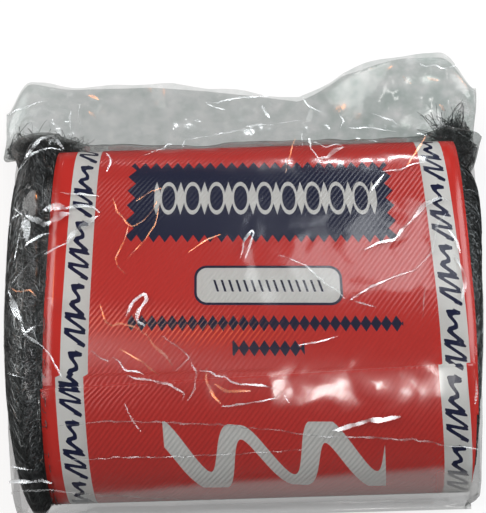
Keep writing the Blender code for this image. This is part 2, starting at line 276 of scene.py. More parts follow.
# Of a swing or a stroke: how far it swells and shrinks, and its middle size
SCROLL_SWING, SCROLL_STROKE, FLOURISH_STROKE = (0.9, 1.65), (0.22, 0.8), (0.8, 2.9)
HATCH_PITCH, HATCH_ACROSS, HATCH_UP, HATCH_STRENGTH, HATCH_DEPTH = 1.3, 0.8, -0.62, 0.6, 0.00012
PANEL_MIDDLE, PANEL_HALF_WIDTH, PANEL_HALF_HEIGHT = 31.0, 41.9, 13.4
TOOTH_DEPTH, TOOTH_PITCH, SIDE_TOOTH_PITCH = 2.6, 3.6, 5.3
FRIEZE_START, FRIEZE_CELL, FRIEZE_MIDDLE, FRIEZE_HALF_HEIGHT, FRIEZE_ACROSS = 33.6, 3.9, 31.8, 6.0, (1.7, 36.0)
DIAMOND_HALF_WIDTH, RING_HALF_WIDTH, RING = 1.7, 2.9, (0.76, 0.21)
PILL_MIDDLE, PILL_HALF_WIDTH, PILL_HALF_HEIGHT, PILL_ROUNDING, PILL_OUTLINE = (1.7, 2.2), 22.9, 6.4, 4.0, 0.8
TICK_SLANT, TICK_HALF_PITCH, TICK_STROKE, TICKS_ACROSS, TICKS_UP = 0.3, 1.15, 0.36, (1.7, 17.5), (2.0, 1.9)
LOZENGE_HALF_PITCH, LOZENGE_SLOPE, LOZENGE_HALF_HEIGHT = 1.55, -1.5, 2.5
LOZENGE_ROWS = ((-9.8, (0.4, 41.9)), (-17.4, (1.2, 10.9)))
FLOURISH_PITCH, FLOURISH_SWING, FLOURISH_SLANT = 25.0, 8.5, 0.25
FLOURISH_MIDDLE, FLOURISH_MARGIN, FLOURISH_ACROSS = -51.5, 3.4, (2.6, 33.0)


def toothed(m, place, pitch, half):
    """Half a panel's reach where its edge has teeth, at a place along that edge."""
    tooth = m("MULTIPLY", m("PINGPONG", place, pitch / 2), 2 * TOOTH_DEPTH / pitch)
    return m("ADD", tooth, half - TOOTH_DEPTH / 2)


def rounded_distance(m, across, up):
    """How far a place lies from the inner box that a pill's rounded outline runs round."""
    over = m("SUBTRACT", m("ABSOLUTE", across), PILL_HALF_WIDTH - PILL_ROUNDING)
    high = m("SUBTRACT", m("ABSOLUTE", up), PILL_HALF_HEIGHT - PILL_ROUNDING)
    over, high = m("MAXIMUM", over, 0.0), m("MAXIMUM", high, 0.0)
    return m("SQRT", m("ADD", m("MULTIPLY", over, over), m("MULTIPLY", high, high)))


def scroll(m, p, s):
    """The ornament in the two stripes: groups of slanted loops."""
    side = m("SIGN", p)
    middle = m("MULTIPLY", m("SUBTRACT", m("ABSOLUTE", p), STRIPE_PLACE), side)
    slanted = m("MULTIPLY_ADD", middle, SCROLL_SLANT, m("MULTIPLY_ADD", side, SCROLL_OFFSET, s))
    group = m("FRACT", m("DIVIDE", slanted, SCROLL_GROUP))
    swing = m("MULTIPLY_ADD", m("SINE", m("MULTIPLY", group, 2 * math.pi)), *SCROLL_SWING)
    turned = m("MULTIPLY", group, 2 * math.pi * SCROLL_SWINGS)
    turns_per_mm = 2 * math.pi * SCROLL_SWINGS / SCROLL_GROUP
    steepness = m("MULTIPLY", m("MULTIPLY", swing, turns_per_mm), m("COSINE", turned))
    stroke = m("MULTIPLY_ADD", m("SINE", m("MULTIPLY_ADD", turned, 0.5, 1.0)), *SCROLL_STROKE)
    apart = m("ABSOLUTE", m("SUBTRACT", middle, m("MULTIPLY", swing, m("SINE", turned))))
    line = m.drawn_line(apart, stroke, steepness)
    return m.every(line, m.within(middle, 0.0, SCROLL_HALF), m.within(group, 0.5, SCROLL_SHARE))


def frieze(m, p, s):
    """Rings with diamonds between them, along the middle of the panel."""
    cell = m("PINGPONG", m("ADD", p, FRIEZE_START), FRIEZE_CELL)
    cell_up = m("DIVIDE", m("ABSOLUTE", m("SUBTRACT", s, FRIEZE_MIDDLE)), FRIEZE_HALF_HEIGHT)
    diamond = m("LESS_THAN", m("ADD", m("DIVIDE", cell, DIAMOND_HALF_WIDTH), cell_up), 1.0)
    ring_out = m("DIVIDE", m("SUBTRACT", FRIEZE_CELL, cell), RING_HALF_WIDTH)
    ring_reach = m("ADD", m("POWER", ring_out, 2.0), m("POWER", cell_up, 2.0))
    return m.every(m.any(diamond, m.within(ring_reach, *RING)), m.within(p, *FRIEZE_ACROSS))


def flourish(m, p, s):
    """The large wave at the front of the band."""
    turned = m("MULTIPLY", m("MULTIPLY_ADD", s, FLOURISH_SLANT, p), 2 * math.pi / FLOURISH_PITCH)
    steepness = m("MULTIPLY", m("COSINE", turned), 2 * math.pi * FLOURISH_SWING / FLOURISH_PITCH)
    stroke = m("MULTIPLY_ADD", m("SINE", m("MULTIPLY", turned, 0.5)), *FLOURISH_STROKE)
    wave = m("MULTIPLY", m("SINE", turned), FLOURISH_SWING)
    apart = m("ABSOLUTE", m("SUBTRACT", m("SUBTRACT", s, FLOURISH_MIDDLE), wave))
    return m.every(
        m.drawn_line(apart, stroke, steepness),
        m.within(p, *FLOURISH_ACROSS),
        m.within(s, FLOURISH_MIDDLE, FLOURISH_SWING + FLOURISH_MARGIN),
    )


def band_print():
    """The paper's print, in simple shapes placed by the band's own measure."""
    m = Maths("printed_band_paper")
    place = m.tree.nodes.new("ShaderNodeUVMap")
    place.uv_map = "print"
    split = m.node("ShaderNodeSeparateXYZ", Vector=place.outputs[0])
    p, s = split.outputs["X"], split.outputs["Y"]

    stripe = m.within(m("ABSOLUTE", p), STRIPE_PLACE, STRIPE_HALF)
    panel = m.every(
        m.within(s, PANEL_MIDDLE, toothed(m, p, TOOTH_PITCH, PANEL_HALF_HEIGHT)),
        m.within(p, 0.0, toothed(m, s, SIDE_TOOTH_PITCH, PANEL_HALF_WIDTH)),
    )
    panel_light = m.every(panel, frieze(m, p, s))
    from_pill = rounded_distance(m, m("SUBTRACT", p, PILL_MIDDLE[0]), m("SUBTRACT", s, PILL_MIDDLE[1]))
    pill = m("LESS_THAN", from_pill, PILL_ROUNDING)
    pill_inside = m("LESS_THAN", from_pill, PILL_ROUNDING - PILL_OUTLINE)
    ticks = m.every(
        m("LESS_THAN", m("PINGPONG", m("MULTIPLY_ADD", s, TICK_SLANT, p), TICK_HALF_PITCH), TICK_STROKE),
        m.within(s, *TICKS_UP),
        m.within(p, *TICKS_ACROSS),
    )
    lozenge = m("MULTIPLY_ADD", m("PINGPONG", p, LOZENGE_HALF_PITCH), LOZENGE_SLOPE, LOZENGE_HALF_HEIGHT)
    rows = [m.every(m.within(s, up, lozenge), m.within(p, *across)) for up, across in LOZENGE_ROWS]

    colour = m.blend(m.any(stripe, flourish(m, p, s), pill), RED, CREAM)
    colour = m.blend(panel_light, colour, CREAM)
    dark = m.any(
        m.every(stripe, scroll(m, p, s)),
        m("SUBTRACT", panel, panel_light),
        m("SUBTRACT", pill, pill_inside),
        ticks,
        *rows,
    )
    colour = m.blend(dark, colour, NAVY)

    ribs = m("MULTIPLY_ADD", p, HATCH_ACROSS, m("MULTIPLY", s, HATCH_UP))
    ribs = m("SINE", m("MULTIPLY", ribs, 2 * math.pi / HATCH_PITCH))
    between_stripes = m("LESS_THAN", m("ABSOLUTE", p), STRIPE_PLACE - STRIPE_HALF)
    pressed = m("MULTIPLY", between_stripes, HATCH_STRENGTH)
    bump = m.node("ShaderNodeBump", Strength=pressed, Distance=HATCH_DEPTH, Height=ribs)
    shader = m.node("ShaderNodeBsdfPrincipled", Base_Color=colour, Roughness=0.2, Normal=bump.outputs[0])
    shader.inputs["Specular IOR Level"].default_value = 0.95
    return m.finish(shader.outputs[0])


def cut_paper():
    m = Maths("cut_paper_edge")
    return m.finish(m.node("ShaderNodeBsdfPrincipled", Base_Color=PAPER_WHITE, Roughness=0.8).outputs[0])


# The wool's body is coloured darker than its strands as painted shade of the wool's depth; its noise is the fibres'
# own tone.
CORE_PAINTED_SHADE_DARK, CORE_PAINTED_SHADE_LIGHT, CORE_CONTRAST = (0.03, 0.032, 0.032, 1), (0.12, 0.126, 0.125, 1), 2.2
STRAND_DARK, STRAND_LIGHT = (0.060, 0.066, 0.068, 1), (0.26, 0.275, 0.28, 1)


def wool_core_painted_shade():
    m = Maths("steel_wool_depth_painted_shade")
    fibres = m("MULTIPLY", m.noise(900.0, 6.0), m.noise(260.0, 3.0))
    colour = m.blend(m("MULTIPLY", fibres, CORE_CONTRAST), CORE_PAINTED_SHADE_DARK, CORE_PAINTED_SHADE_LIGHT)
    bump = m.node("ShaderNodeBump", Strength=0.9, Distance=0.0006, Height=fibres)
    steel = {"Base_Color": colour, "Metallic": 0.7, "Roughness": 0.6, "Normal": bump.outputs[0]}
    return m.finish(m.node("ShaderNodeBsdfPrincipled", **steel).outputs[0])


def wool_strand():
    m = Maths("steel_wool_strand")
    colour = m.blend(m.attribute("shade"), STRAND_DARK, STRAND_LIGHT)
    shader = m.node("ShaderNodeBsdfPrincipled", Base_Color=colour, Metallic=0.9, Roughness=0.42)
    return m.finish(shader.outputs[0])


FILM_LOOKS = ("clarity", "streak_clarity", "haze", "mirror", "most", "roughness", "wrinkling")
CLEAR_FILM = dict(zip(FILM_LOOKS, (0.80, 0.57, 0.004, 1.6, 0.3, 0.14, 1.0)))
FOLDED_FILM = dict(zip(FILM_LOOKS, (0.88, 0.80, 0.04, 8.0, 0.6, 0.24, 0.0)))
MILK_COLOUR, MILK_SHARE = (0.56, 0.57, 0.56, 1), 0.75
# Slack film has darker, slightly green streaks
STREAK_CONTRAST, STREAK_OFFSET, STREAK_GREEN, STREAK_BLUE = 1.15, -0.285, 1.08, 1.05


def film(name, clarity, streak_clarity, haze, mirror, most, roughness, wrinkling):
    """Thin clear film: light passes straight through, a little is scattered, and both faces mirror the lamps."""
    m = Maths(name)
    streaks = m("MULTIPLY_ADD", m.noise(180.0, 6.0), STREAK_CONTRAST, STREAK_OFFSET)
    streaks = m("MULTIPLY", m.attribute("slack"), streaks)
    streak_colour = (streak_clarity, streak_clarity * STREAK_GREEN, streak_clarity * STREAK_BLUE, 1)
    tint = m.blend(streaks, (clarity, clarity, clarity, 1), streak_colour)
    clear = m.node("ShaderNodeBsdfTransparent", Color=tint)
    milky = m.node("ShaderNodeBsdfDiffuse", Color=MILK_COLOUR)
    share = m("MINIMUM", m("MULTIPLY_ADD", m.attribute("milk"), MILK_SHARE, haze), 1.0)
    body = m.mix_shaders(share, clear.outputs[0], milky.outputs[0])
    wrinkle = m("ABSOLUTE", m("SUBTRACT", m.noise(110.0, 1.5), 0.5))
    depth = m("MULTIPLY", m.attribute("crinkle"), wrinkling)
    crease = m.node("ShaderNodeBump", Strength=depth, Distance=0.0010, Height=wrinkle)
    gloss = m.node("ShaderNodeBsdfGlossy", Color=(1, 1, 1, 1), Roughness=roughness, Normal=crease.outputs[0])
    edge = m.node("ShaderNodeFresnel", IOR=1.5)
    sheen = m("MULTIPLY", m.attribute("sheen"), mirror)
    both_faces = m("MINIMUM", m("MULTIPLY", edge.outputs[0], sheen), most)
    return m.finish(m.mix_shaders(both_faces, body, gloss.outputs[0]))


# Paper band

BAND_ROWS, BAND_COLUMNS = 380, 45
PAPER_THICKNESS = 0.2
LAP_LENGTH, LAP_LIFT, LAP_LIFT_LEAD, LAP_LIFT_RUN = 14.0, 0.3, 25.0, 10.0
SEAM_FORWARD, INNER_END_TURN = 25.0, 0.9
# The cut edge at the lap runs a little askew
LAP_CUT_RUN, LAP_CUT_SLOPE, LAP_CUT_CENTRE, LAP_CUT_RISE = 6.0, 0.029, 3.0, 0.42
# The left and right edge: where each is over the apex, how it drifts there, and where it is on the way round
SIDE_EDGES = ((-61.4, 0.02, -62.6), (70.6, 0.012, 69.7))
DRIFT_RANGE, BEHIND = (-24, 50), (0.35, 0.3)
# The print's middle and half width on the paper, its tilt, and its shift where the lap's outer end begins
PRINT_MIDDLE, PRINT_MIDDLE_DRIFT, PRINT_TURNOVER = 5.87, 0.0055, 0.62
PRINT_HALF, PRINT_HALF_DRIFT, PRINT_RANGE = 57.49, 0.0265, (-70, 60)
PRINT_TILT, PRINT_TILT_CENTRE = 0.032, 5
LAP_PRINT_START, LAP_PRINT_SHIFT, LAP_PRINT_DRIFT, LAP_PRINT_PLACE = -24, -1.1, 0.05, 31


def paper_band():
    """The strip of paper from its hidden inner end over the apex, round the back and floor to the lap."""
    fine = 4000
    seam = math.pi - math.acos((SEAM_FORWARD / FRONT_REACH) ** (FRONT_TOP_SQUARENESS / 2))
    turn = seam + np.linspace(INNER_END_TURN, -2 * math.pi, fine)
    line = np.stack(section(turn), -1)
    travelled = along(line)
    whole_turn = np.linspace(0, INNER_END_TURN + 2 * math.pi, fine)
    start = np.interp(INNER_END_TURN, whole_turn, travelled) - LAP_LENGTH
    apex = np.interp(INNER_END_TURN + seam - math.pi / 2, whole_turn, travelled)
    wanted = np.linspace(start, travelled[-1], BAND_ROWS)
    y, z = at_places(line, travelled, wanted).T
    circumference = travelled[-1] - start - LAP_LENGTH

    # the outer end is lifted over the inner one
    turns = np.interp(wanted, travelled, turn)
    outer = ramp(wanted, (travelled[-1] - LAP_LENGTH - LAP_LIFT_LEAD, LAP_LIFT_RUN))
    over_y, over_z = section(turns, LAP_LIFT, LAP_LIFT, UNDERSIDE - LAP_LIFT)
    y = y + (over_y - y) * outer
    z = z + (over_z - z) * outer

    s = wanted - apex
    s_print = np.where(wanted > start + circumference * PRINT_TURNOVER, s - circumference, s)
    drift = np.clip(s, *DRIFT_RANGE)
    behind = ramp((wanted - start) / circumference, BEHIND)
    left, right = [(edge + slope * drift) * (1 - behind) + far * behind for edge, slope, far in SIDE_EDGES]
    x = left[:, None] + (right - left)[:, None] * np.linspace(0, 1, BAND_COLUMNS)
    slant = np.clip((wanted - travelled[-1] + LAP_CUT_RUN) / LAP_CUT_RUN, 0, 1)
    askew = slant[:, None] * LAP_CUT_SLOPE * (x - LAP_CUT_CENTRE)
    rows_y = np.repeat(y[:, None], BAND_COLUMNS, 1) + askew
    rows_z = np.repeat(z[:, None], BAND_COLUMNS, 1) + askew * LAP_CUT_RISE

    middle = PRINT_MIDDLE + PRINT_MIDDLE_DRIFT * s_print
    on_lap = LAP_PRINT_SHIFT - LAP_PRINT_DRIFT * (s_print + LAP_PRINT_PLACE)
    middle = middle + np.where(s_print < LAP_PRINT_START, on_lap, 0.0)
    half = PRINT_HALF - PRINT_HALF_DRIFT * np.clip(s_print, *PRINT_RANGE)
    p_print = (x - middle[:, None]) / half[:, None] * STRIPE_PLACE
    uv = np.stack([p_print, s_print[:, None] + PRINT_TILT * (x - PRINT_TILT_CENTRE)], -1)
    points = np.stack([x, rows_y, rows_z], -1)
    faces = grid_faces(BAND_ROWS, BAND_COLUMNS)[:, ::-1]
    band = new_mesh("paper_band_visual", points, faces, [band_print(), cut_paper()], uv=uv)
    shell = band.modifiers.new("paper_thickness", "SOLIDIFY")
    shell.thickness = PAPER_THICKNESS * MM
    shell.offset = -1
    shell.material_offset_rim = 1
    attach(band, "root")
    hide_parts("paper_band")


# Steel wool

TURN_DEPTH, TURNS_AT_END = 1.6, 3
ROUNDING_ARC = 19.0
ROUNDING_START = BUNDLE_LENGTH / 2 - END_ROUNDING
RIM_AT = ROUNDING_START + ROUNDING_ARC
CENTRE_AT = RIM_AT + 11.5
CENTRE_SHRINK = 0.97
WOOL_LOWEST = 0.9
SECTION_LENGTH = 262.0
CORE_AROUND, CORE_STEPS, CORE_STEPS_UNDER = 300, 26, 9
CORE_DEPTH, CORE_DEPTH_SCATTER, CORE_DEPTH_UNDER, CORE_RIGHT_START = 0.75, 0.22, 0.6, 69
KNOTS = 13
# The curls of a strand: how many waves they make along it, and how far they swing its heading
CURLS = ((0.8, 0.9), (2.1, 0.75))
LIFT_SCATTER, RIM_LIFT_LOSS, RIM_LIFT_RUN = 0.5, 0.75, 7
TWIST, TWIST_SHARE = 1.1, math.sin(0.5)
HALF_WIDTHS, LOOSE_HALF_WIDTHS = (0.05, 0.12), (0.05, 0.11)

# The strands on the wool's skin: seed, side, count, the stretch where they start, the spread of their headings,
# whether they follow the roll's turns, their lengths, and how deep and how high they lie
WOOL_STRANDS = {
    "wool_left_strands_a": (11, -1, 4700, (63.2, RIM_AT), 0.6, False, (4, 14), (-0.5, 0.9)),
    "wool_left_strands_b": (12, -1, 4700, (63.2, RIM_AT), 1.3, False, (3, 10), (-0.5, 1.3)),
    "wool_right_strands": (13, 1, 3600, (71.2, RIM_AT), 1.0, False, (4, 12), (-0.6, 0.9)),
    "wool_left_edge_strands": (18, -1, 1800, (61.2, 66.5), 1.2, False, (3, 8), (-0.3, 1.7)),
    "wool_right_edge_strands": (19, 1, 900, (70.9, 74.0), 1.2, False, (3, 8), (0.4, 1.8)),
    "wool_left_end_strands": (14, -1, 2600, (RIM_AT - 3, CENTRE_AT - 1), 0.6, True, (6, 18), (-0.5, 0.8)),
    "wool_right_end_strands": (15, 1, 2600, (RIM_AT - 3, CENTRE_AT - 1), 0.6, True, (6, 18), (-0.5, 0.8)),
}
# The tangles that have come loose behind the ends: seed, count, middle, and how far they reach from it
LOOSE_WOOL = {
    "wool_loose_right": (16, 5600, (83.0, 63.5, 11.0), (7.5, 10.5, 9.0)),
    "wool_loose_left": (17, 5600, (-75.5, 64.0, 11.0), (12.5, 8.5, 12.0)),
}
# How near loose strands come to the film below and above: a part of the room there, and at most
ROOM_BELOW, ROOM_ABOVE = (0.15, 0.1, 0.7), (0.3, 0.15, 1.0)


def section_table():
    """The section's angle at each distance round it, counted from the back."""
    turn = np.linspace(0, 2 * math.pi, 3000)
    travelled = along(np.stack(section(turn), -1))
    return travelled / travelled[-1], turn


SECTION_SHARES, SECTION_TURNS = section_table()


def wool_place(side, w, round_share, lift):
    """A point of the wool.

    w runs from the middle along the side, over the rounded rim and into the end face's centre.
    """
    turn = np.clip((w - ROUNDING_START) / ROUNDING_ARC, 0, 1) * math.pi / 2
    inward = np.clip((w - RIM_AT) / (CENTRE_AT - RIM_AT), 0, 1)
    x = np.minimum(w, ROUNDING_START) + END_ROUNDING * np.sin(turn)
    share = END_FACE_SHARE + (1 - END_FACE_SHARE) * np.cos(turn)
    share = share * (1 - inward * CENTRE_SHRINK)
    groove = TURN_DEPTH * (0.5 - 0.5 * np.cos(2 * math.pi * TURNS_AT_END * inward)) * (inward > 0)
    growth = ease((past_band(side * x) - BULGE_START) / BULGE_RUN)
    angle = np.interp(np.mod(round_share, 1.0), SECTION_SHARES, SECTION_TURNS)
    sideways = lift * np.cos(turn)
    y, z = section(
        angle,
        -PAPER_ROOM + (WOOL_BULGE_OUT + PAPER_ROOM) * growth + sideways,
        -PAPER_ROOM + (WOOL_BULGE_UP + PAPER_ROOM) * growth + sideways,
        UNDERSIDE + PAPER_ROOM * (1 - growth),
    )
    middle = BUNDLE_HEIGHT / 2
    z = middle + (z - middle) * share
    x = leaning(side * x, y * share) + side * (lift * np.sin(turn) - groove)
    return np.stack([x, y * share, np.maximum(z, WOOL_LOWEST)], -1)


def wool_body():
    """The wool's body behind its outer strands, coloured darker than they are as painted shade of the wool's depth.
    """
    rng = np.random.default_rng(5)
    rim = np.linspace(ROUNDING_START - 4, RIM_AT, CORE_STEPS)
    outside = np.concatenate([rim, np.linspace(RIM_AT + 0.6, CENTRE_AT, CORE_STEPS)])
    under = np.linspace(-ROUNDING_START + 6, ROUNDING_START + 2, CORE_STEPS_UNDER)
    round_share = np.linspace(0, 1, CORE_AROUND, endpoint=False)

    def ring(side, w, lift):
        return wool_place(side, np.full(CORE_AROUND, w), round_share, lift)

    def rough():
        return rng.normal(-CORE_DEPTH, CORE_DEPTH_SCATTER, CORE_AROUND)

    rings = [ring(-1, w, rough()) for w in outside[::-1]]
    rings += [ring(1, x, np.full(CORE_AROUND, -CORE_DEPTH_UNDER)) for x in under]
    rings += [ring(1, w, rough()) for w in outside[outside > CORE_RIGHT_START]]
    faces = grid_faces(len(rings), CORE_AROUND, closed=True)
    body = new_mesh("steel_wool_body", np.concatenate(rings), faces, [wool_core_painted_shade()])
    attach(body, "root")
    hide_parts("steel_wool")


def ribbons(name, rng, centre, half, material):
    """Flat strands, each a strip as wide as twice half about its centre line, with a shade of its own."""
    count = len(centre)
    points = np.stack([centre - half, centre + half], 2)
    faces = grid_faces(KNOTS, 2) + (np.arange(count) * 2 * KNOTS)[:, None, None]
    item = new_mesh(name, points, faces.reshape(-1, 4), [material])
    add_values(item, "shade", np.repeat(rng.uniform(0, 1, count) ** 2, 2 * KNOTS))
    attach(item, "root")


def strands(name, material, few, seed, side, count, w_range, heading_spread, along_turns, length, lift):
    """Curly flat strands on the wool's skin, each twisted its own way. Along the turns, they follow the roll."""
    rng = np.random.default_rng(seed)
    count = int(count * few)
    t = np.linspace(0, 1, KNOTS)
    size = rng.uniform(*length, (count, 1))
    heading = rng.normal(math.pi / 2 if along_turns else 0.0, heading_spread, (count, 1))
    heading = heading + math.pi * rng.integers(0, 2, (count, 1))
    for waves, swing in CURLS:
        frequency = rng.uniform(0.5, 1.5, (count, 1)) * waves
        swing = rng.normal(0, swing, (count, 1))
        heading = heading + swing * np.sin(2 * math.pi * (frequency * t + rng.uniform(0, 1, (count, 1))))
    step = size / (KNOTS - 1)
    w = rng.uniform(*w_range, (count, 1)) + np.cumsum(np.cos(heading) * step, 1)
    w = np.clip(w, w_range[0], CENTRE_AT - 1)
    s = rng.uniform(0, 1, (count, 1)) + np.cumsum(np.sin(heading) * step, 1) / SECTION_LENGTH
    arch = np.sin(math.pi * t) * rng.uniform(0, 1, (count, 1)) ** 1.5
    height = lift[0] + rng.uniform(0, LIFT_SCATTER, (count, 1)) + (lift[1] - lift[0] - LIFT_SCATTER) * arch
    lowered = height * (1 - RIM_LIFT_LOSS * ease((w - ROUNDING_START) / RIM_LIFT_RUN))
    height = np.where(height > 0, lowered, height)
    centre = wool_place(side, w, s, height)
    tangent = unit(np.gradient(centre, axis=1))
    normal = wool_place(side, w, s, height + 0.5) - centre
    normal = unit(normal - (normal * tangent).sum(2, keepdims=True) * tangent)
    twist = rng.uniform(-TWIST, TWIST, (count, 1, 1))
    half = unit(TWIST_SHARE * normal * np.tan(twist) + np.cross(tangent, normal))
    # the widths are the second of these two draws
    half_width = rng.uniform(*HALF_WIDTHS, (2, count, 1, 1))[1]
    ribbons(name, rng, centre, half * half_width, material)


def loose_wool(name, material, few, seed, count, middle, reach):
    """A tangle of strands that has come loose at the back of one end, inside the bag's tail."""
    rng = np.random.default_rng(seed)
    count = int(count * few)
    start = np.array(middle) + rng.uniform(-1, 1, (count, 1, 3)) * reach
    heading, turn, third = rng.normal(0, 1, (3, count, 1, 3))
    t = np.linspace(0, 1, KNOTS)[None, :, None]
    course = heading * (t - 0.5) + 0.5 * turn * np.sin(2 * math.pi * t * rng.uniform(0.4, 1.1, (count, 1, 1)))
    centre = start + course * rng.uniform(3, 8, (count, 1, 1))
    # each strand lies at its own share of the room between the film's two layers
    rows = 120
    sheets = [bag_sheet(upper, rows, rows).reshape(-1, 3).tolist() for upper in (True, False)]
    over, under = [BVHTree.FromPolygons(sheet, grid_faces(rows, rows).tolist()) for sheet in sheets]
    low, high = np.zeros((count, KNOTS)), np.zeros((count, KNOTS))
    for place in np.ndindex(count, KNOTS):
        x, y, _ = centre[place]
        top = over.ray_cast(Vector((x, y, ABOVE_ALL)), DOWN)[0]
        bottom = under.ray_cast(Vector((x, y, -ABOVE_ALL)), UP)[0]
        if top and bottom and y > middle[1] - reach[1]:
            gap = top.z - bottom.z
            low[place] = bottom.z + min(ROOM_BELOW[0] + ROOM_BELOW[1] * gap, ROOM_BELOW[2])
            high[place] = top.z - min(ROOM_ABOVE[0] + ROOM_ABOVE[1] * gap, ROOM_ABOVE[2])
    inside = (high - low).min(axis=1) > 0
    centre[..., 2] = low + (high - low) * rng.uniform(0, 1, (count, 1))
    centre[..., 2] = np.minimum(centre[..., 2], middle[2] + reach[2])
    centre, third = centre[inside], third[inside]
    half = unit(np.cross(np.gradient(centre, axis=1), third))
    half = half * rng.uniform(*LOOSE_HALF_WIDTHS, (len(centre), 1, 1))
    ribbons(name, rng, centre, half, material)


def steel_wool():
    wool_body()
    steel = wool_strand()
    few = 1.0
    for name, numbers in WOOL_STRANDS.items():
        strands(name, steel, few, *numbers)
    for name, numbers in LOOSE_WOOL.items():
        loose_wool(name, steel, few, *numbers)


# The lamps: place, size, watts and colour
LAMPS = {
    "left": ((-850, 150, 620), 850, 9.6, (1.0, 0.99, 0.97)),
    "right": ((850, 150, 620), 850, 9.6, (0.97, 0.99, 1.0)),
    "veil": ((175, 293, 880), 210, 0.36, (0.95, 0.98, 1.0)),
    "glint": ((150, 900, 700), 70, 0.9, (0.92, 0.97, 1.0)),
    "glare": ((155, -490, 860), 120, 0.9, (1.0, 0.98, 0.95)),
    "warm": ((-430, 240, 820), 60, 0.6, (1.0, 0.30, 0.05)),
}
CAMERA_PLACE = (0.05, -109.76, 335.36)
CAMERA_ELEVATION, CAMERA_ROLL = 70.0, -1.7
FOCAL_LENGTH, SENSOR_LONG_SIDE = 69.46, 36.0

# Clear bag

FILM_ROWS, FILM_COLUMNS = ((335, 270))
FILM_SLACK, FILM_SIDE_SLACK = 1.0, -1.2
FILM_OVER_PAPER, FILM_BEFORE_PAPER, CLOSING_RUN = 0.7, 1.8, 13.0
SEAL_LENGTH, SEAL_HEIGHT, SEAL_SPREAD = 3.0, 0.9, 2.0
TAIL_LENGTH, TAIL_SPREAD, SPREAD_RUN = 37.0, 10.5, 12.0
FILM_BACK = BACK_REACH + WOOL_BULGE_OUT + FILM_SLACK
FILM_FRONT = FRONT_REACH + WOOL_BULGE_OUT + FILM_SLACK
FRONT_EDGE = FILM_FRONT + SEAL_LENGTH
TAIL_REACH = FILM_BACK + TAIL_LENGTH
HALF_TAIL = BUNDLE_LENGTH / 2 + TAIL_SPREAD
DROP_LENGTH, DROP_KNEE_SHARE = 23.0, 0.3
SHOULDER_SHARE, SHOULDER_ROUNDING, WALL_MEASURE = 0.62, END_ROUNDING + 2, 36
FLAT_EDGE_RUN, FLAT_WALL_SHARE, FLOOR_ROUNDING = 40.0, 0.3, 5.0
MOUTH_GAP, MOUTH_DIP, MOUTH_DIP_POWER = 1.3, 8.0, 1.3
MOUTH_DIP_START, MOUTH_DIP_PLACE, MOUTH_DIP_END = -35.0, 23.0, 40.0
CORNER_CUT, CORNER_CUT_WIDTH, CORNER_CUT_WIDTH_LEFT = 14.0, 14.0, 10.0
LOBE_RISE, LOBE_WIDTH, LOBE_RUN = 16.0, 60.0, 38.0
LEFT_CURL, LEFT_CURL_WIDTH = 7.0, 25.0
PLEAT_HEIGHT, PLEAT_PITCH = 2.0, 24.0
# The weld is cut further back on the right of the front
FRONT_CUT, FRONT_CUT_X, FRONT_CUT_Y, FRONT_CUT_RUN = 4.0, (-22.0, 10.0), -59.5, 1.5
SIDEWAYS_SHARE = 0.3


def bent(start, control, end, share):
    """Points of the curve that leaves start towards control and arrives at end from it."""
    share = np.asarray(share)[:, None]
    start, control, end = (np.array(point) for point in (start, control, end))
    first, second = start + (control - start) * share, control + (end - control) * share
    return first + (second - first) * share


def film_profile(out, up):
    """The film's upper line from the welded front edge over the bundle to the mouth."""
    foot, widest = (-FILM_FRONT - SEAL_LENGTH / 3, SEAL_HEIGHT), (-FRONT_REACH - out, FRONT_LIFT)
    weld = np.linspace((-FRONT_EDGE, SEAL_HEIGHT), foot, 20)
    rise = bent(foot, (-FRONT_REACH - out, SEAL_HEIGHT), widest, np.linspace(0, 1, 60)[1:])
    over = np.stack(section(np.linspace(math.pi, 0, 900)[1:], out, up), -1)
    leave = over[-1]
    knee = (leave[0], leave[1] * DROP_KNEE_SHARE)
    drop = bent(leave, knee, (FILM_BACK + DROP_LENGTH, MOUTH_GAP), np.linspace(0, 1, 200)[1:])
    line = np.concatenate([weld, rise, over, drop, [(TAIL_REACH, MOUTH_GAP)]])
    travelled = along(line)
    return at_places(line, travelled, np.linspace(0, travelled[-1], FILM_ROWS))


def tail_share(y):
    return ease((y - FILM_BACK + BULGE_RUN) / (TAIL_LENGTH + BULGE_RUN))


def mouth_edge(x):
    """How much of the tail's length is missing at x."""
    before = np.clip((x - MOUTH_DIP_START) / (MOUTH_DIP_PLACE - MOUTH_DIP_START), 0, 1) ** MOUTH_DIP_POWER
    dip = MOUTH_DIP * before * np.clip((MOUTH_DIP_END - x) / (MOUTH_DIP_END - MOUTH_DIP_PLACE), 0, 1)
    width = np.where(x > 0, CORNER_CUT_WIDTH, CORNER_CUT_WIDTH_LEFT)
    return dip + CORNER_CUT * ease((np.abs(x) - HALF_TAIL) / width + 1) ** 2


def outline_across(half_width, wall, rounding, columns):
    """The layer's outline across, from the bag's left fold to its right fold, as x and share of the height."""
    turn = np.linspace(0, math.pi / 2, 40)
    left_x = -half_width + rounding * (1 - np.cos(turn))
    height = wall + (1 - wall) * np.sin(turn)
    x = np.concatenate([[-half_width], left_x, -left_x[::-1], [half_width]])
    height = np.concatenate([[0.0], height, height[::-1], [0.0]])
    travelled = along(np.stack([x, height * WALL_MEASURE], -1))
    wanted = np.linspace(0, travelled[-1], columns)
    return np.interp(wanted, travelled, x), np.interp(wanted, travelled, height)


def spread_share(y):
    """0 where the bag has the bundle's width, rising quickly to 1 where it has its own."""
    return ease((y - FILM_BACK + BULGE_RUN) / SPREAD_RUN)


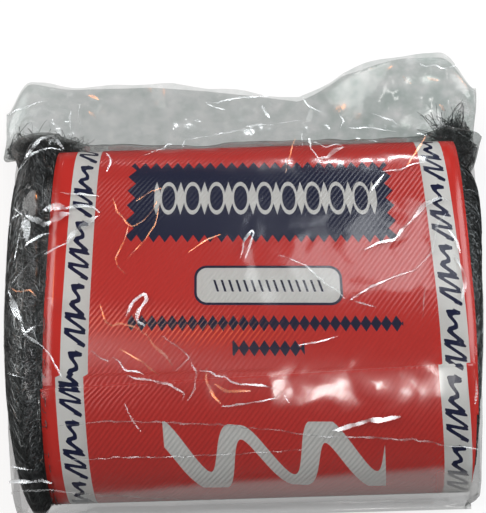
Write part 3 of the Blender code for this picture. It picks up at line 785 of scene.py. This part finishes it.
def bag_sheet(upper, rows, columns):
    """The film's smooth surface, the upper layer or the one on the floor, as a grid of points from front to mouth."""
    station, wanted = np.linspace(0, 1, FILM_ROWS), np.linspace(0, 1, rows)
    loose = at_places(film_profile(WOOL_BULGE_OUT + FILM_SLACK, FILM_SLACK), station, wanted)
    close = at_places(film_profile(FILM_BEFORE_PAPER, FILM_OVER_PAPER), station, wanted)
    points = np.zeros((rows, columns, 3))
    for row in range(rows):
        top_y, top_z = loose[row]
        low_y = -FRONT_EDGE + (TAIL_REACH + FRONT_EDGE) * row / (rows - 1)
        welded = 1 - ramp(top_z, (SEAL_HEIGHT, FRONT_LIFT - SEAL_HEIGHT)) if top_y < 0 else 0.0
        over_bundle = BUNDLE_LENGTH / 2 + FILM_SIDE_SLACK
        half_width = over_bundle + (HALF_TAIL - over_bundle) * spread_share(top_y)
        half_width += (SEAL_SPREAD - FILM_SIDE_SLACK) * welded
        flatness = max(welded, float(ease(2 * tail_share(top_y))))
        wall = SHOULDER_SHARE + (FLAT_WALL_SHARE - SHOULDER_SHARE) * flatness if upper else 0.0
        corner = SHOULDER_ROUNDING if upper else FLOOR_ROUNDING
        x, height = outline_across(half_width, wall, corner + (FLAT_EDGE_RUN - corner) * flatness, columns)
        hug = ramp(-past_band(x), (FILM_SLACK, CLOSING_RUN))
        line_y = top_y + (close[row, 0] - top_y) * hug
        line_z = top_z + (close[row, 1] - top_z) * hug
        middle_y, middle_z = (top_y + low_y) / 2, min(FRONT_LIFT, top_z / 2)
        y = middle_y + ((line_y if upper else low_y) - middle_y) * height
        tails = tail_share(y)
        surface = np.zeros(columns)
        if upper:
            swell = WOOL_BULGE_UP * ease(1 + past_band(x) / BULGE_RUN) * (1 - tails) * ease(line_z / FRONT_LIFT - 1)
            pleat = PLEAT_HEIGHT * (0.5 + 0.5 * np.cos(2 * math.pi * x / PLEAT_PITCH)) * tails
            surface = line_z + swell + pleat
        lobe = LOBE_RISE * ramp(x, (HALF_TAIL - LOBE_WIDTH, LOBE_RUN)) * tails * tails
        lobe = lobe + LEFT_CURL * ramp(-x, (HALF_TAIL - LEFT_CURL_WIDTH, LEFT_CURL_WIDTH)) * tails
        forward = FRONT_CUT_Y - y
        cut = FRONT_CUT * ramp(x, FRONT_CUT_X) * ease(forward / FRONT_CUT_RUN)
        y = y + cut * np.clip(forward / (FRONT_EDGE + FRONT_CUT_Y), 0, 1)
        place = leaning(x, y) + (x - leaning(x, y)) * spread_share(y)
        z = middle_z + (surface - middle_z) * height + lobe
        points[row] = np.stack([place, y - mouth_edge(x) * tails, z], -1)
    return points


def grid_normals(points):
    """The unit normal at each point of a grid, up or outward."""
    return unit(np.cross(np.gradient(points, axis=1), np.gradient(points, axis=0)))


# Hard folds in the film that catch a lamp, in tenths of a millimetre: the width, and then across and back for
# each corner that the fold runs through, seen from above
BRIGHT_FOLDS = (
    (6, -718, 448, -694, 469, -673, 494, -642, 502, -617, 511, -590, 516, -579, 529),
    (9, -699, 478, -675, 512, -649, 553, -630, 558, -613, 568, -596, 546, -579, 529),
    (16, -628, 547, -605, 551, -585, 527), (5, -721, 306, -693, 278), (5, -747, 258, -726, 274, -693, 275),
    (24, -682, 263, -671, 228, -672, 181), (16, -676, 269, -644, 251, -618, 227, -603, 245),
    (26, -615, 283, -583, 303, -557, 292), (22, -603, 245, -575, 272, -550, 278),
    (10, -677, 161, -647, 180, -606, 203), (9, -615, 131, -589, 158, -553, 175),
    (18, -550, 179, -535, 206, -511, 229, -480, 252, -455, 269), (14, -551, 299, -513, 306, -475, 301, -452, 283),
    (2.5, -694, 234, -706, 136, -724, 72), (7, -708, 55, -679, 79, -653, 107),
    (15, -725, 27, -708, -10, -689, -47, -676, -82), (9, -676, -82, -669, -107, -644, -131, -613, -157),
    (5, -613, -157, -592, -183, -572, -220, -561, -252), (7, -666, -113, -645, -105, -627, -96),
    (4, -726, -219, -694, -228, -666, -247), (12, -747, -526, -696, -529, -652, -530, -607, -538),
    (6, -725, -488, -685, -497, -661, -503), (6, -573, 353, -522, 349, -457, 340),
    (5, -441, 508, -423, 488, -424, 458, -432, 434),
    (12, -359, -61, -341, -21, -307, 4, -301, -19, -326, -53, -329, -77, -310, -96),
    (6, -466, -169, -445, -185, -418, -194), (6, -403, -192, -388, -198, -364, -222, -313, -238),
    (8, -355, -240, -292, -256, -232, -272, -188, -301, -194, -312),
    (5, -250, -131, -205, -165, -169, -195, -191, -212, -207, -226),
    (5, -169, -195, -152, -231, -154, -282, -176, -313), (7, 234, 749, 233, 518, 254, 461),
    (12, 254, 461, 284, 460, 312, 490, 340, 503), (8, 340, 503, 322, 519, 281, 505, 248, 541),
    (5, 460, 401, 515, 403, 557, 425, 599, 431), (7, 459, 386, 440, 361, 412, 325),
    (10, 378, 126, 424, 148, 477, 157, 502, 190, 530, 216),
    (12, 530, 216, 558, 246, 579, 273, 605, 283, 632, 296, 653, 284), (6, 330, -32, 395, 8, 458, 32, 531, 55),
    (8, 531, 55, 565, 87, 589, 113, 599, 153, 610, 203, 641, 236), (5, 116, 118, 177, 93, 230, 39, 280, -2, 309, -28),
    (7, -3, 118, 5, 168, 28, 202, 37, 198, 23, 154, 10, 115), (7, 652, 184, 672, 147, 680, 112),
    (12, 661, 90, 674, 54, 681, 7, 666, -41), (5, 557, -4, 547, -51, 544, -91), (5, 333, -41, 366, -49, 399, -56),
    (7, 690, -274, 691, -317, 687, -350), (4, 166, -167, 221, -157, 276, -146),
    (5, -568, -377, -418, -368, -236, -376, -100, -385, 67, -406, 219, -427),
    (6, 219, -427, 340, -433, 462, -441, 554, -452, 690, -478),
    (3.5, -575, -476, -424, -467, -271, -471, 4, -468, 157, -463), (15, 255, -414, 310, -399, 377, -387, 456, -383),
    (7, -131, -231, -80, -250, -20, -275, 46, -282, 110, -295),
    (7, 110, -298, 85, -317, 33, -327, -22, -331, -77, -338), (4, 109, -304, 130, -338),
    (5, -370, -324, -351, -361, -328, -395), (6, -754, -557, -584, -558, -467, -565, -282, -580, -126, -591),
    (7, -834, 856, -858, 834), (8, -834, 860, -789, 882, -746, 904), (6, -119, 896, -12, 904, 122, 926),
    (6, -119, 896, -89, 881, -59, 864), (14, 89, 875, 104, 854, 114, 833),
    (6, -312, 497, -247, 531, -202, 727, -128, 747), (5, -128, 747, -34, 764, 60, 787, 136, 806, 230, 803),
    (5, 245, 892, 273, 859, 306, 840), (5, 379, 822, 392, 792, 376, 763), (5, 412, 757, 503, 751, 580, 736),
    (5, 494, 805, 553, 788, 589, 763), (5, -632, 890, -639, 847, -632, 799), (4, -607, 908, -606, 865, -596, 819),
    (6, 34, 791, 87, 804), (7, 670, 942, 743, 933, 798, 934),
)
WARM_FOLDS = (
    (5, -409, 324, -395, 281, -359, 238, -340, 230, -309, 247, -281, 281, -268, 312),
    (4.5, -356, 231, -371, 180, -398, 121, -389, 98, -367, 71), (4.5, -358, 123, -305, 182, -271, 235, -262, 298),
    (5, -329, 321, -291, 349, -250, 362), (6, -442, -34, -426, -74, -405, -96, -381, -85, -335, -101, -302, -124),
    (6, -302, -124, -284, -154, -248, -184, -224, -211), (6, -381, -166, -321, -197, -291, -221, -268, -242),
    (7, -122, -232, -120, -266, -103, -306, -85, -327), (9, -96, -275, -63, -293, 10, -293),
    (4, -722, 36, -682, 15, -652, 17, -635, -13), (3, 185, 546, 164, 478, 144, 405),
    (5, 615, 533, 572, 466, 543, 422), (4, -164, 140, -117, 172, -70, 191), (12, -565, 948, -533, 929),
    (10, -564, 879, -544, 851), (12, 609, 910, 635, 890), (10, 699, 899, 729, 893), (9, 745, 821, 760, 804),
)

# The crumples' three sizes, and how high each stands in the tail, on the paper and over the ends
CRUMPLES = ((24.0, 1.3, 0.2, 0.6), (9.5, 0.55, 0.16, 0.7), (4.0, 0.22, 0.06, 0.25))
FILM_LIFT, UNDER_CRUMPLES = 0.15, 0.4
EDGE_ROWS_SHARE, EDGE_COLUMNS = 1 / 40, 8
SHEET_WIDTH, SHEET_LENGTH = 230, 240
PATCH_SPACING, PATCH_SHARE, DULL_ENDS, TAIL_DULLNESS, RIGHT_SLACKNESS = 9.0, 0.55, 0.92, 0.8, 0.7
# Spans: where each of these begins, and over what length it grows
OVER_PAPER, PAPER_BACK, PATCH_HEIGHT = (-2, 8), (48, 10), (0.45, 0.12)
DULL_SIDES, DULL_BACK, BEHIND_BUNDLE, RIGHT_TAIL = (-15, 5), (56, 6), (52, 10), (20, 25)


def crumpled(points, upper):
    """The sheet with its crumples, larger in the tail and at the ends and small where the film lies on the paper."""
    rng = np.random.default_rng(21 if upper else 22)
    rows, columns = points.shape[:2]
    down = along(points[:, columns // 2])
    at = np.stack(np.meshgrid(down, np.linspace(0, SHEET_WIDTH, columns), indexing="ij"), -1).reshape(-1, 2)
    x, y = points[..., 0], points[..., 1]
    tails = tail_share(y)
    on_paper = ramp(-past_band(x), OVER_PAPER) * (1 - ramp(y, PAPER_BACK))
    ends = (1 - on_paper) * (1 - tails)
    fields, height = [], FILM_LIFT * on_paper
    for spacing, in_tail, over_paper, at_ends in CRUMPLES:
        fields.append(softened(facets(rng, down[-1], SHEET_WIDTH, spacing, at).reshape(rows, columns)))
        height = height + fields[-1] * (in_tail * tails + over_paper * on_paper + at_ends * ends)
    if not upper:
        height = UNDER_CRUMPLES * fields[1] * tails
    from_front = np.linspace(0, 1, rows)[:, None] / EDGE_ROWS_SHARE
    from_sides = np.minimum(np.arange(columns), np.arange(columns)[::-1])[None] / EDGE_COLUMNS
    height = height * ease(from_front) * ease(from_sides)
    return points + grid_normals(points) * height[..., None] * (SIDEWAYS_SHARE, 1, 1)


def end_patches(points):
    """How strongly the film mirrors: less in the tail, and over the wool and the paper's edges only in patches."""
    rng = np.random.default_rng(23)
    rows, columns = points.shape[:2]
    down, across = np.linspace(0, SHEET_LENGTH, rows), np.linspace(0, SHEET_WIDTH, columns)
    at = np.stack(np.meshgrid(down, across, indexing="ij"), -1).reshape(-1, 2)
    heights = facets(rng, SHEET_LENGTH, SHEET_WIDTH, PATCH_SPACING, at).reshape(rows, columns)
    x, y = points[..., 0], points[..., 1]
    ends = ramp(past_band(x), DULL_SIDES) * (1 - ramp(y, DULL_BACK))
    patch = ramp(heights, PATCH_HEIGHT)
    return (1 - DULL_ENDS * ends * (1 - PATCH_SHARE * patch)) * (1 - TAIL_DULLNESS * tail_share(y))


def slackness(points):
    """How dull the film has become by creasing: not over the bundle, more in the tail, most in its raised corner."""
    return ramp(points[..., 1], BEHIND_BUNDLE) * (1 + RIGHT_SLACKNESS * ramp(points[..., 0], RIGHT_TAIL))


def kept_off(points, cad_nodes, room):
    """The sheet pushed out wherever it would come nearer than room to the wool or paper."""
    flat = points.reshape(-1, 3)
    search = 0.006
    trees = []
    for name in cad_nodes:
        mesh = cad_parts[name].data
        faces = [tuple(face.vertices) for face in mesh.polygons]
        trees.append(BVHTree.FromPolygons([vertex.co for vertex in mesh.vertices], faces))
    moved = flat.copy()
    for number, point in enumerate(flat):
        spot = Vector((point[0], point[1] + APEX_Y, point[2])) * MM
        for tree in trees:
            near, outward, _, distance = tree.find_nearest(spot, search)
            if near is None:
                continue
            height = (spot - near).dot(outward) / MM
            if height < room and (height > 0 or distance < search):
                push = Vector(outward) * (room - height)
                moved[number] += push
                spot += push * MM
    return moved.reshape(points.shape)


FACET_STEP, FACET_WIDENING, FACET_OVERLAP, FACET_LIFT = 0.7, 1.3, 0.62, 0.05
# A fold's line wanders, and its width, turn and brightness change, between knots this far apart
FOLD_KNOTS, FOLD_WANDER, FOLD_WIDTHS, FOLD_TURN = 2.0, 0.16, (0.35, 1.25), 0.035
FOLD_TAPER, FOLD_TAPER_POWER = 0.2, 0.6
FOLD_STRENGTHS, FOLD_FULL_LENGTH, FOLD_PULSES, FOLD_PULSE_POWER = (0.45, 1.0), 20.0, (0.1, 1.0), 1.5


def film_piece(item, milk, sheen, slack, crinkle):
    """A piece of the bag, with how milky, glossy, slack and crinkled its film is."""
    add_values(item, "milk", milk)
    add_values(item, "sheen", sheen)
    add_values(item, "slack", slack)
    add_values(item, "crinkle", crinkle)
    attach(item, "root")


def fold_facets(name, folds, sheet, lamp, whitening_and_painted_highlight, material, seed):
    """Small facets along the film's hard folds, turned to mirror the lamp to where the photograph was taken from."""
    rng = np.random.default_rng(seed)
    film_tree = BVHTree.FromPolygons(sheet.reshape(-1, 3).tolist(), grid_faces(*sheet.shape[:2]).tolist())
    from_apex = np.array((0, APEX_Y, 0))
    eye, lamp = np.array(CAMERA_PLACE) - from_apex, np.array(lamp) - from_apex
    points, sheen = [], []
    for fold in folds:
        width, corners = fold[0] / 10, np.reshape(fold[1:], (-1, 2)) / 10
        travelled = along(corners)
        length = travelled[-1]
        steps = max(4, int(length / FACET_STEP))
        wanted = np.linspace(0, length, steps)
        knots = np.linspace(0, length, max(3, int(length / FOLD_KNOTS)))

        def between_knots(values):
            return np.interp(wanted, knots, values)

        line = at_places(corners, travelled, wanted)
        line[1:-1] = (line[:-2] + 2 * line[1:-1] + line[2:]) / 4
        line += between_knots(rng.normal(0, FOLD_WANDER, len(knots)))[:, None]
        wide = FACET_WIDENING * width * between_knots(rng.uniform(*FOLD_WIDTHS, len(knots)))
        wide *= np.sin(np.linspace(FOLD_TAPER, math.pi - FOLD_TAPER, steps)) ** FOLD_TAPER_POWER
        turned = np.stack([between_knots(rng.normal(0, FOLD_TURN, len(knots))) for _ in range(3)], -1)
        strength = min(1.0, FOLD_FULL_LENGTH / length) * rng.uniform(*FOLD_STRENGTHS)
        pulse = strength * between_knots(rng.uniform(*FOLD_PULSES, len(knots))) ** FOLD_PULSE_POWER
        tangents = np.gradient(line, axis=0)
        for number, (x, y) in enumerate(line):
            spot, outward, _, _ = film_tree.ray_cast(Vector((x, y, ABOVE_ALL)), DOWN)
            if spot is None:
                continue
            spot, outward = np.array(spot), np.array(outward) * math.copysign(1, outward.z)
            normal = (eye - spot) / np.linalg.norm(eye - spot) + turned[number]
            normal += (lamp - spot) / np.linalg.norm(lamp - spot)
            normal /= np.linalg.norm(normal)
            onward = np.array((*tangents[number], 0.0))
            onward -= (onward @ outward) * outward
            onward -= (onward @ normal) * normal
            onward = FACET_OVERLAP * FACET_STEP * unit(onward)
            side = wide[number] / 2 * unit(np.cross(normal, onward))
            centre = spot + outward * (FACET_LIFT + abs(onward @ outward) + abs(side @ outward))
            points += [centre - onward - side, centre + onward - side, centre + onward + side, centre - onward + side]
            sheen += [pulse[number]] * 4
    item = new_mesh(name, points, np.arange(len(points)).reshape(-1, 4), [material], smooth=False)
    # the folds' milk rises and falls with their brightness: partly whitening at the crease, partly painted highlight
    film_piece(item, whitening_and_painted_highlight * np.array(sheen), sheen, 0, 0)


# The hazy foot of the front: how high it reaches at places across, and how milky it is
FRONT_HAZE_X = (-76, -61, -46, -28, -12, 3, 16, 34, 55, 72)
FRONT_HAZE_Z = (20, 21, 21, 22, 23.5, 23.8, 24.2, 25, 26, 27)
FRONT_HAZE, FRONT_HAZE_RUN = 0.45, 2.5
# The hazy roll behind the bundle: its ends to the right and to the left, and its middle and half width
BACK_HAZE, ROLL_RIGHT_OF, ROLL_LEFT_OF, ROLL_MIDDLE, ROLL_HALF = 0.35, (-32, 10), (-60, 10), 60, 7
CRINKLE, BACK_CRINKLE, END_CRINKLE, CRINKLED_SIDES, UNDER_CRINKLE = 0.09, 0.5, 0.75, (-4, 4), 0.3
FILM_ROOM, FILM_LOWEST, FILM_ABOVE_CAD = 0.35, 0.25, 1.0
UNDER_ROWS = 110
# The bright folds' milky white: partly the crease's whitening, partly painted highlight.
BRIGHT_FOLD_WHITENING_AND_HIGHLIGHT = 0.4


def clear_bag():
    upper = bag_sheet(True, FILM_ROWS, FILM_COLUMNS)
    upper = kept_off(crumpled(upper, True), ("paper_band", "steel_wool"), FILM_ROOM)
    _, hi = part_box("clear_bag")
    upper[..., 2] = np.clip(upper[..., 2], FILM_LOWEST, hi.z / MM + FILM_ABOVE_CAD)
    x, y, z = np.moveaxis(upper, -1, 0)
    # the film lies in several hazy layers over the foot of the front
    haze_top = np.interp(x, FRONT_HAZE_X, FRONT_HAZE_Z)
    milk = FRONT_HAZE * ease((haze_top - z) / FRONT_HAZE_RUN + 0.5) * (y < 0)
    rolled = ramp(x, ROLL_RIGHT_OF) * ramp(-x, ROLL_LEFT_OF) * ease(1 - np.abs(y - ROLL_MIDDLE) / ROLL_HALF)
    milk = np.maximum(milk, BACK_HAZE * rolled)
    crinkle = CRINKLE + BACK_CRINKLE * ramp(y, BEHIND_BUNDLE) + END_CRINKLE * ramp(past_band(x), CRINKLED_SIDES)

    clear, folded = film("clear_film", **CLEAR_FILM), film("folded_film", **FOLDED_FILM)
    top = new_mesh("clear_bag_upper", upper, grid_faces(FILM_ROWS, FILM_COLUMNS), [clear])
    film_piece(top, milk, end_patches(upper), slackness(upper), crinkle)
    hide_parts("clear_bag")
    fold_facets("film_bright_folds", BRIGHT_FOLDS, upper, LAMPS["glint"][0], BRIGHT_FOLD_WHITENING_AND_HIGHLIGHT, folded, 31)
    fold_facets("film_warm_folds", WARM_FOLDS, upper, LAMPS["warm"][0], 0.0, folded, 32)
    lower = crumpled(bag_sheet(False, UNDER_ROWS, UNDER_ROWS), False)
    lower[..., 2] = np.maximum(lower[..., 2], 0.0)
    under = new_mesh("clear_bag_under", lower, grid_faces(UNDER_ROWS, UNDER_ROWS)[:, ::-1], [clear])
    film_piece(under, 0, 1, slackness(lower), UNDER_CRINKLE)


# Stage, light and camera

FLOOR_SIDE, FLOOR_HEIGHT = 3000, -0.05
FLOOR_UNSEEN, FLOOR_SEEN = (0.30, 0.30, 0.30, 1), (0.86, 0.86, 0.86, 1)
FLOOR_GLOW, FLOOR_GLOW_SHARE = 1.06, 0.72
SKY_COLOUR, SKY_STRENGTH = (0.93, 0.97, 1.0, 1), 0.13
WHITE = (1, 1, 1, 1)


def pale_floor():
    """A floor that looks white to the camera and throws little light back at the object."""
    m = Maths("pale_floor")
    path = m.tree.nodes.new("ShaderNodeLightPath")
    seen = m.any(path.outputs["Is Camera Ray"], path.outputs["Is Transmission Ray"])
    plain = m.node("ShaderNodeBsdfDiffuse", Color=m.blend(seen, FLOOR_UNSEEN, FLOOR_SEEN))
    bright = m.node("ShaderNodeEmission", Color=WHITE, Strength=FLOOR_GLOW)
    shader = m.mix_shaders(m("MULTIPLY", seen, FLOOR_GLOW_SHARE), plain.outputs[0], bright.outputs[0])
    signs = ((-1, -1), (1, -1), (1, 1), (-1, 1))
    corners = [(a * FLOOR_SIDE, b * FLOOR_SIDE, FLOOR_HEIGHT) for a, b in signs]
    floor = new_mesh("floor", corners, [[0, 1, 2, 3]], [m.finish(shader)])


def soft_studio():
    """The world's soft light. The camera sees it as white beyond the floor's edge."""
    m = Maths("soft_studio", "World")
    path = m.tree.nodes.new("ShaderNodeLightPath")
    light = m.node("ShaderNodeBackground", Color=SKY_COLOUR, Strength=SKY_STRENGTH)
    white = m.node("ShaderNodeBackground", Color=WHITE)
    shader = m.mix_shaders(path.outputs["Is Camera Ray"], light.outputs[0], white.outputs[0])
    bpy.context.scene.world = m.finish(shader)


def lamps():
    """Area lamps, each turned to the middle of the frame."""
    for name, (place, size, watts, colour) in LAMPS.items():
        lamp = bpy.data.lights.new(name, "AREA")
        lamp.size = size * MM
        lamp.energy = watts
        lamp.color = colour
        item = bpy.data.objects.new(name, lamp)
        item.location = Vector(place) * MM
        item.rotation_euler = (-item.location).to_track_quat("-Z", "Y").to_euler()
        bpy.context.scene.collection.objects.link(item)


def photo_camera():
    """The camera that took the photograph: steep, close and turned a little clockwise."""
    lens = bpy.data.cameras.new("photo_camera")
    lens.lens = FOCAL_LENGTH
    lens.sensor_width = SENSOR_LONG_SIDE
    lens.clip_start = 0.01
    camera = bpy.data.objects.new("photo_camera", lens)
    tilt = Matrix.Rotation(math.radians(90 - CAMERA_ELEVATION), 4, "X")
    roll = Matrix.Rotation(math.radians(CAMERA_ROLL), 4, "Z")
    camera.matrix_world = Matrix.Translation(Vector(CAMERA_PLACE) * MM) @ tilt @ roll
    bpy.context.scene.collection.objects.link(camera)
    bpy.context.scene.camera = camera
    bpy.context.scene.view_settings.view_transform = "Standard"


paper_band()
steel_wool()
clear_bag()
pale_floor()
soft_studio()
lamps()
photo_camera()
